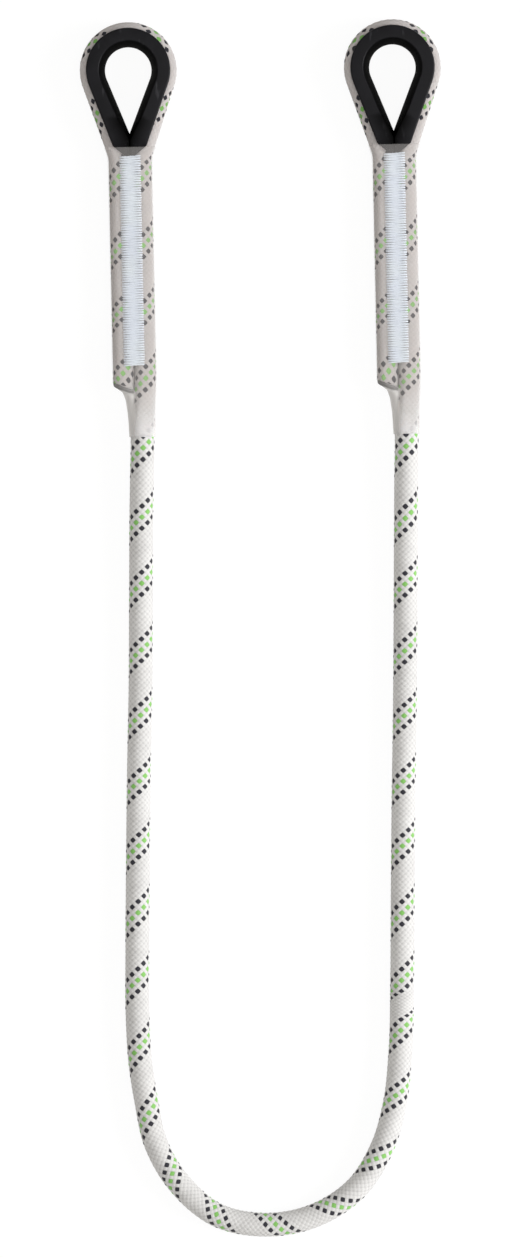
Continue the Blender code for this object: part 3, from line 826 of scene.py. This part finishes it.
def ring_edges(bm, verts):
    return [bm.edges.get(pair) for pair in zip(verts, verts[1:] + verts[:1])]


def place_in_order(piece):
    """A number that sorts edges or faces by the indices of their vertices."""
    indices = [vert.index for vert in piece.verts]
    return min(indices) * 1e6 + sum(indices)


def loft(name, rings, material, hollow=False):
    """A skin through rings of as many points, capped, or run back on itself if hollow."""
    bm = bmesh.new()
    verts = bmesh.ops.create_circle(bm, segments=len(rings[0]), cap_ends=not hollow)["verts"]
    for vert, point in zip(verts, rings[0]):
        vert.co = point
    edges = first_edges = ring_edges(bm, verts)
    for ring in rings[1:]:
        made = set(bmesh.ops.extrude_edge_only(bm, edges=edges)["geom"])
        joined = [edge.other_vert(vert) for vert in verts for edge in vert.link_edges]
        verts = [vert for vert in joined if vert in made]
        for vert, point in zip(verts, ring):
            vert.co = point
        edges = ring_edges(bm, verts)
    if hollow:
        bmesh.ops.bridge_loops(bm, edges=edges + first_edges)
    else:
        bmesh.ops.contextual_create(bm, geom=edges)
    bmesh.ops.recalc_face_normals(bm, faces=bm.faces[:])
    # The operators make edges and faces in an order that differs from run to run
    bm.verts.index_update()
    for made in (bm.edges, bm.faces):
        made.sort(key=place_in_order)
    mesh = to_mesh(bm, name)
    mesh.materials.append(material)
    mesh.shade_smooth()
    return add(name, mesh)


def distance_to_line(start, along, angle, offset):
    """How far it is from the start, this way along, to the line of a leg's edge."""
    normal = outward(-angle)
    return (offset - normal.dot(start)) / normal.dot(along)


def thimble_stations():
    """Right leg's foot to the left's: bore edge, rim and throat width of each section."""
    side = outward(-BORE_ANGLE)
    point = Vector((0, -BORE_DEPTH))
    rim = point + side * distance_to_line(point, side, FLANGE_ANGLE, FLANGE_RADIUS)
    foot = Vector((0, -FOOT_DEPTH))
    tip = Vector((FOOT_TIP_HALF, -FOOT_DEPTH))
    shoulder = Vector((SHOULDER_HALF, -SHOULDER_DEPTH))
    marks = [
        (foot, tip, FOOT_THROAT),
        (point.lerp(foot, 0.33), shoulder, FOOT_THROAT),
        (point, rim, THROAT_WIDTH * 0.6),
        (side * BORE_RADIUS, side * FLANGE_RADIUS, THROAT_WIDTH),
    ]
    leg = []
    for (a, b, c), (d, e, f), count in zip(marks, marks[1:], LEG_SECTIONS):
        for k in range(count):
            t = k / count
            ease = smooth_step(t, 0, 0.5) if a is point else t
            leg.append((a.lerp(d, t), b.lerp(e, t), c + (f - c) * ease))
    crown = []
    sweep = math.pi + 2 * BORE_ANGLE
    for k in range(CROWN_SECTIONS + 1):
        way = outward(-BORE_ANGLE + sweep * k / CROWN_SECTIONS)
        crown.append((way * BORE_RADIUS, way * FLANGE_RADIUS, THROAT_WIDTH))
    other_leg = [
        (Vector((-edge.x, edge.y)), Vector((-rim.x, rim.y)), throat)
        for edge, rim, throat in reversed(leg)
    ]
    return leg + crown + other_leg


def web_thickness(edge, along, reach):
    """The wall between bore and groove, which grows or thins down the legs and the foot."""
    if edge.y >= -BORE_RADIUS * math.sin(BORE_ANGLE) - CLEARANCE:
        return THIMBLE_WEB
    out = Vector((abs(along.x), along.y))
    seat = ROPE_EYE_RADIUS - EYE_RADIAL - CLEARANCE
    web = distance_to_line(Vector((abs(edge.x), edge.y)), out, ROPE_LEG_ANGLE, seat)
    return min(max(web, THINNEST_WEB), reach)


def thimble_section(edge, rim, throat):
    """Flared throat, two flanges with rolled rims, and the rope's groove between them."""
    reach = (rim - edge).length
    along = (rim - edge) / reach
    web = web_thickness(edge, along, reach)
    groove = min(EYE_RADIAL + CLEARANCE, (reach - web) * 0.8)
    half = []
    for k in range(1, THROAT_STEPS + 1):
        share = (k / THROAT_STEPS) ** 2
        spot = edge + along * throat * share
        half.append((spot, thimble_face(-spot.y) * share ** THROAT_POWER))
    half.append((edge + along * (throat + 0.0001), half[-1][1]))
    rolled = min(RIM_ROLL, reach * 0.2)
    for k in range(RIM_STEPS + 1):
        turn = math.pi / 2 * k / RIM_STEPS
        spot = rim - along * rolled * (1 - math.sin(turn))
        half.append((spot, thimble_face(-spot.y) - rolled * (1 - math.cos(turn))))
    half.append((rim, rope_half_height(-rim.y) + CLEARANCE + GROOVE_LEDGE))
    for k in range(GROOVE_STEPS, 0, -1):
        turn = math.pi / 2 * k / GROOVE_STEPS
        spot = edge + along * (web + groove * (1 - math.cos(turn)))
        half.append((spot, (rope_half_height(-spot.y) + CLEARANCE) * math.sin(turn)))
    section = [(edge, 0), *half, (edge + along * web, 0)]
    section += [(spot, -height) for spot, height in reversed(half)]
    return [Vector((spot.x, spot.y, height)) for spot, height in section]


def mark_throat(thimble):
    """The flared wall of the bore, where the thimble's colour is painted darker as shade."""
    throat = thimble.data.attributes.new("throat", "FLOAT", "POINT")
    side = outward(-BORE_ANGLE)
    low, high = [share * THROAT_WIDTH for share in THROAT_SHADE]
    for vert, value in zip(thimble.data.vertices, throat.data):
        spot = Vector((abs(vert.co.x), vert.co.y))
        on_leg = spot.y < -BORE_RADIUS * math.sin(BORE_ANGLE)
        from_bore = (side.dot(spot) if on_leg else spot.length) - BORE_RADIUS
        value.value = 1 - smooth_step(from_bore, low, high)


def sleeve_reach(depth):
    slant = math.cos(ROPE_LEG_ANGLE) if depth < JOIN_DEPTH else 1
    return leg_x(depth) + rope_half_width(depth) / slant + CLEARANCE


def sleeve_profile():
    """Depth, left, right, half height and squareness of the bore, from foot to mouth."""
    wide = SEAM_TOP + CLEARANCE
    over_foot = thimble_face(FOOT_DEPTH) + 2 * CLEARANCE
    marks = []
    tops = [
        (SLEEVE_TOP, THIMBLE_HALF - SLEEVE_WALL - 0.0001, 4),
        (FOOT_DEPTH, over_foot, 4),
        (JOIN_DEPTH + JOIN_REACH / 2, (over_foot + wide) / 2, 3),
        (JOIN_END + 0.0019, wide, 3),
        (SEAM_END, wide, 3),
        (TAIL_END - CLEARANCE, wide, 3),
    ]
    for depth, height, squareness in tops:
        left = max(sleeve_reach(depth), sleeve_reach(SEAM_END))
        marks.append((depth, -left, sleeve_reach(depth), height, squareness))
    mouth_left = leg_x(MOUTH_DEPTH) - MOUTH_HALF - CLEARANCE
    step = mouth_left + sleeve_reach(SEAM_END)
    mouth_height = MOUTH_HALF + CLEARANCE
    for share, left_over in NECK_DOWN:
        depth = TAIL_END + (MOUTH_DEPTH - TAIL_END) * share
        left = mouth_left - step * left_over
        height = mouth_height + (wide - mouth_height) * left_over
        marks.append((depth, left, sleeve_reach(depth), height, 2 + left_over))
    return np.array(marks)


def sleeve_rings(wall, seed):
    """The sleeve's skin from foot to mouth, with a lip and the faint ripple of the film."""
    marks = sleeve_profile()
    rings = []
    for depth in np.append(np.arange(SLEEVE_TOP, MOUTH_DEPTH, SLEEVE_STEP), MOUTH_DEPTH):
        left, right, height, squareness = [
            np.interp(depth, marks[:, 0], marks[:, k]) for k in range(1, 5)
        ]
        right = max(right, sleeve_reach(depth))
        lip = SLEEVE_LIP[0] * math.exp(-((depth - SLEEVE_TOP) / SLEEVE_LIP[1]) ** 2)
        ring = []
        for k in range(SLEEVE_SIDES):
            turn = 2 * math.pi * k / SLEEVE_SIDES
            cosine, sine = math.cos(turn), math.sin(turn)
            across = math.copysign(abs(cosine) ** (2 / squareness), cosine)
            over = math.copysign(abs(sine) ** (2 / squareness), sine)
            spot = Vector((cosine * 3, sine * 3, depth * 160 + seed))
            ripple = 0.00010 * noise.noise(spot) + 0.00006 * noise.noise(spot * 2.7)
            grow = wall + ripple + lip
            x = (left + right) / 2 + ((right - left) / 2 + grow) * across
            ring.append(Vector((x, -depth, (height + grow) * over)))
        rings.append(ring)
    return rings


def plug_end(x):
    """How deep the tail and its melted plug reach at this place across them."""
    across = min(max((x + ROPE_OFFSET) / SEAM_HALF, -1), 1)
    shares, reaches = zip(*reversed(PLUG))
    plug = np.interp(abs(across), shares, reaches)
    return TAIL_END + TAIL_SLANT * (0.5 + 0.5 * across) + plug


def veil_sleeve_and_shade_hollow(sleeve):
    """Marks where the film is milky: near the mouth, and over the hollow below the tail, where
    it partly stands in as painted shade for the hollow under the film.
    """
    milk_and_hollow_shade = sleeve.data.attributes.new("milk_and_hollow_shade", "FLOAT", "POINT")
    for vert, value in zip(sleeve.data.vertices, milk_and_hollow_shade.data):
        x, depth = vert.co.x, -vert.co.y
        rope_edge = leg_x(depth) - rope_half_width(depth)
        over_rope = 0.0015 + 0.0025 * smooth_step(depth, 0.164, 0.174)
        beside_rope = smooth_step(rope_edge - x, -over_rope, 0.0006)
        below_tail = smooth_step(depth - plug_end(x), -0.0003, 0.0009)
        at_mouth = smooth_step(depth, MOUTH_DEPTH - 0.014, MOUTH_DEPTH - 0.004)
        # Over the hollow the milkier film is partly painted shade
        value.value = max(beside_rope * below_tail, MOUTH_VEIL * at_mouth)


def seam_threads(name, side, material):
    """Rows of thread laid to and fro across the two ropes, as one sewing line."""
    curve = bpy.data.curves.new(name, "CURVE")
    curve.dimensions = "3D"
    curve.bevel_depth = THREAD_RADIUS
    curve.bevel_resolution = 2
    curve.use_fill_caps = True
    curve.materials.append(material)
    for row in range(round((SEAM_END - STITCH_START) / THREAD_PITCH)):
        depth = STITCH_START + (row + 0.5) * THREAD_PITCH
        wander = noise.noise(Vector((row * 0.73, side * 5, 0)))
        half = SEAM_WIDTH / 2 + 0.0002 + 0.0003 * noise.noise(Vector((row * 1.9, side, 3)))
        slant = THREAD_SLANT * (1 if row % 2 else -1)
        spline = curve.splines.new("POLY")
        spline.points.add(len(THREAD_POINTS) - 1)
        for spot, share in zip(spline.points, THREAD_POINTS):
            x = half * share
            dip = 0.00010 * math.exp(-((x / 0.0014) ** 2))
            fall = 0.0008 * smooth_step(abs(share), 0.90, 1.0)
            height = SEAM_TOP - THREAD_RADIUS - dip - fall + 0.00008 * wander
            spot.co = (x, -(depth + slant * share + 0.0001 * wander), side * height, 1)
    obj = add(name, curve)
    bpy.context.view_layer.update()
    mesh = bpy.data.meshes.new_from_object(obj)
    mesh.name = name
    bpy.data.objects.remove(obj)
    mesh.shade_smooth()
    return add(name, mesh)


def tail_cut(name, cut, material, rope):
    """The tail's cut end: the melted plug that closes the braid, dark grey as painted shadow of
    the hollow under the cut.
    """
    end, side = cut
    centre, left, up, wide, high = [v[0] for v in rope.section(np.array([end]))]
    rings = []
    for share, out in PLUG:
        ring = []
        for k in range(PLUG_SIDES):
            turn = 2 * math.pi * k / PLUG_SIDES
            spot = centre + left * (wide * share * math.sin(turn))
            spot = spot + up * (high * share * math.cos(turn))
            spot[1] -= TAIL_SLANT * (0.5 + 0.5 * side * share * math.sin(turn)) + out
            ring.append(Vector(spot))
        rings.append(ring)
    return loft(name, rings, material)


def put_in_frame(obj, letter):
    obj.data.transform(eye_frame(letter))
    return obj


def build_sewn_end(letter, rope, finishes):
    body = f"sewn_end_{letter}"
    seed = 0 if letter == "a" else 40
    stations = [thimble_section(*station) for station in thimble_stations()]
    thimble = loft(f"moulded_thimble_{letter}", stations, finishes["thimble"])
    mark_throat(thimble)
    put_in_frame(thimble, letter)
    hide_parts(f"thimble_{letter}")

    rings = sleeve_rings(SLEEVE_WALL, seed) + sleeve_rings(0, seed)[::-1]
    sleeve = loft(f"shrink_sleeve_{letter}", rings, finishes["sleeve"], hollow=True)
    veil_sleeve_and_shade_hollow(sleeve)
    put_in_frame(sleeve, letter)
    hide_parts(f"sleeve_{letter}")

    pieces = [thimble, sleeve]
    for face, side in (("front", 1), ("back", -1)):
        threads = seam_threads(f"stitches_{face}_{letter}", side, finishes["thread"])
        put_in_frame(threads, letter)
        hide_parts(f"seam_{face}_{letter}")
        pieces.append(threads)

    if letter == "a":
        rows = rope.row(rope.lay_length[0]), rope.row(rope.mouths[0])
        cut = (rope.length_at(rows[0]), -1)
    else:
        rows = rope.row(rope.mouths[1]), rope.row(rope.lay_length[-1])
        cut = (rope.length_at(rows[1]), 1)
    eye_rope = braided_rope(f"eye_braid_{letter}", rope, *rows, finishes["soaked_shaded_braid"], cut)
    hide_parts(f"eye_rope_sheath_{letter}", f"eye_rope_core_{letter}")
    cap = tail_cut(f"tail_cut_{letter}", cut, finishes["cut"], rope)
    pieces += [eye_rope, cap]
    for piece in pieces:
        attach(piece, body)


def rope_point(rope, length):
    return tuple(rope.section(np.array([length]))[0][0])


def build_flexing_rope(letter, rope, braid):
    """The two bends and the neck between them, next to one sleeve."""
    marks = [0, SWING_BEND, SWING_BEND + NECK_LENGTH, SWING_BEND + NECK_LENGTH + LIFT_BEND]
    if letter == "b":
        marks = [rope.free_length - mark for mark in marks]
    rows = [rope.row(mark) for mark in marks]
    made = []
    for k, name in enumerate(("swing_bend", "neck", "lift_bend")):
        low, high = sorted(rows[k:k + 2])
        piece = braided_rope(f"{name}_braid_{letter}", rope, low, high, braid)
        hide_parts(f"{name}_sheath_{letter}", f"{name}_core_{letter}")
        made.append(piece)
    ends = [rope_point(rope, rope.length_at(row)) for row in rows]
    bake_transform(made[0])
    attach(made[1], f"neck_{letter}")
    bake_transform(made[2])
    return made, rows[3]


def main():
    set_up_stage()
    rope = Rope()
    finishes = make_finishes()
    braid = finishes["braid"]
    flexing_a, low = build_flexing_rope("a", rope, braid)
    flexing_b, high = build_flexing_rope("b", rope, braid)
    run = braided_rope("run_braid", rope, low, high, braid)
    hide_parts("run_sheath", "run_core")
    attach(run, "rope_run")
    start, end = rope.length_at(low), rope.length_at(high)
    steps = [start + (end - start) * k / PATH_STEPS for k in range(PATH_STEPS + 1)]
    path = [rope_point(rope, step) for step in steps]
    for letter in "ab":
        build_sewn_end(letter, rope, finishes)


main()
